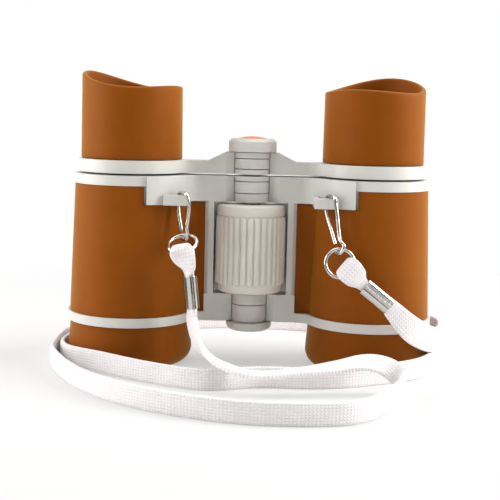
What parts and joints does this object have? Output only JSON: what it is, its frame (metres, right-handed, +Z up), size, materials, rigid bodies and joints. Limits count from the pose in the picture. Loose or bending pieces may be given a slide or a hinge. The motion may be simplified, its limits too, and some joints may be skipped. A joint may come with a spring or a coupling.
{
  "type": "toy binoculars",
  "caption": "Folding toy binoculars with rubber sleeves and winged eyecups, a ribbed focus wheel on the hinge and a flat braided lanyard.",
  "frame": {"origin": "on the floor under the hinge axis, midway between the two barrel axes, with the objective ends standing on the floor", "axes": "+X towards the right barrel, -Y towards the lanyard lugs and the viewer, +Z up along the barrels to the eyepieces"},
  "size_m": [0.1072, 0.113, 0.0789],
  "materials": {
    "frame_plastic": "satin moulded, light warm grey",
    "wheel_plastic": "satin moulded, warm off-white",
    "brown_rubber": "matt soft-touch, caramel brown",
    "black_plastic": "matt black",
    "lens": "clear moulded lens",
    "steel": "plain turned",
    "nickel_wire": "bright nickel plate",
    "disc_plastic": "satin, orange tan",
    "strap_braid": "flat white braid"
  },
  "bodies": {
    "left_half": {"left_body": "frame_plastic", "left_sleeve": "brown_rubber", "left_hood": "brown_rubber", "left_objective": "lens", "left_lens_ring": "black_plastic", "left_hook": "nickel_wire", "left_ring": "nickel_wire", "left_ferrule": "nickel_wire", "left_strap_loop": "strap_braid", "hinge_pin": "steel", "hinge_end_cap": "frame_plastic", "hinge_collar": "frame_plastic", "lanyard_strap": "strap_braid"},
    "right_half": {"right_body": "frame_plastic", "right_sleeve": "brown_rubber", "right_hood": "brown_rubber", "right_objective": "lens", "right_lens_ring": "black_plastic", "right_hook": "nickel_wire", "right_ring": "nickel_wire", "right_ferrule": "nickel_wire", "right_strap_loop": "strap_braid"},
    "focus_wheel": {"focus_wheel": "wheel_plastic"},
    "left_eyepiece": {"left_bridge_arm": "frame_plastic", "left_eyepiece_tube": "black_plastic", "left_eyepiece_lens": "lens", "left_eyepiece_ring": "black_plastic", "focus_spindle": "steel", "bridge_collar": "frame_plastic", "spindle_cap": "frame_plastic", "cap_disc": "disc_plastic"},
    "right_eyepiece": {"right_bridge_arm": "frame_plastic", "right_eyepiece_tube": "black_plastic", "right_eyepiece_lens": "lens", "right_eyepiece_ring": "black_plastic"},
    "left_eyecup": {"left_eyecup": "brown_rubber"},
    "right_eyecup": {"right_eyecup": "brown_rubber"}
  },
  "joints": [
    {"name": "fold", "type": "hinge", "parent": "left_half", "child": "right_half", "pos_m": [0, 0, 0.0315], "axis": [0, 0, 1], "range_deg": [0, 45], "deforming": ["lanyard_strap"]},
    {"name": "focus_turn", "type": "hinge", "parent": "left_half", "child": "focus_wheel", "pos_m": [0, 0, 0.032], "axis": [0, 0, 1], "range_deg": [0, 270]},
    {"name": "left_focus_slide", "type": "slide", "parent": "left_half", "child": "left_eyepiece", "axis": [0, 0, 1], "range_m": [0, 0.0045]},
    {"name": "right_focus_slide", "type": "slide", "parent": "right_half", "child": "right_eyepiece", "axis": [0, 0, 1], "range_m": [0, 0.0045]},
    {"name": "left_eyecup_twist", "type": "hinge", "parent": "left_eyepiece", "child": "left_eyecup", "pos_m": [-0.0325, 0, 0.06], "axis": [0, 0, 1], "continuous": true},
    {"name": "right_eyecup_twist", "type": "hinge", "parent": "right_eyepiece", "child": "right_eyecup", "pos_m": [0.0325, 0, 0.06], "axis": [0, 0, 1], "continuous": true}
  ],
  "couplings": [
    {"joint": "left_focus_slide", "follows": "focus_turn", "m_per_rad": 0.00095},
    {"joint": "right_focus_slide", "follows": "focus_turn", "m_per_rad": 0.00095}
  ]
}
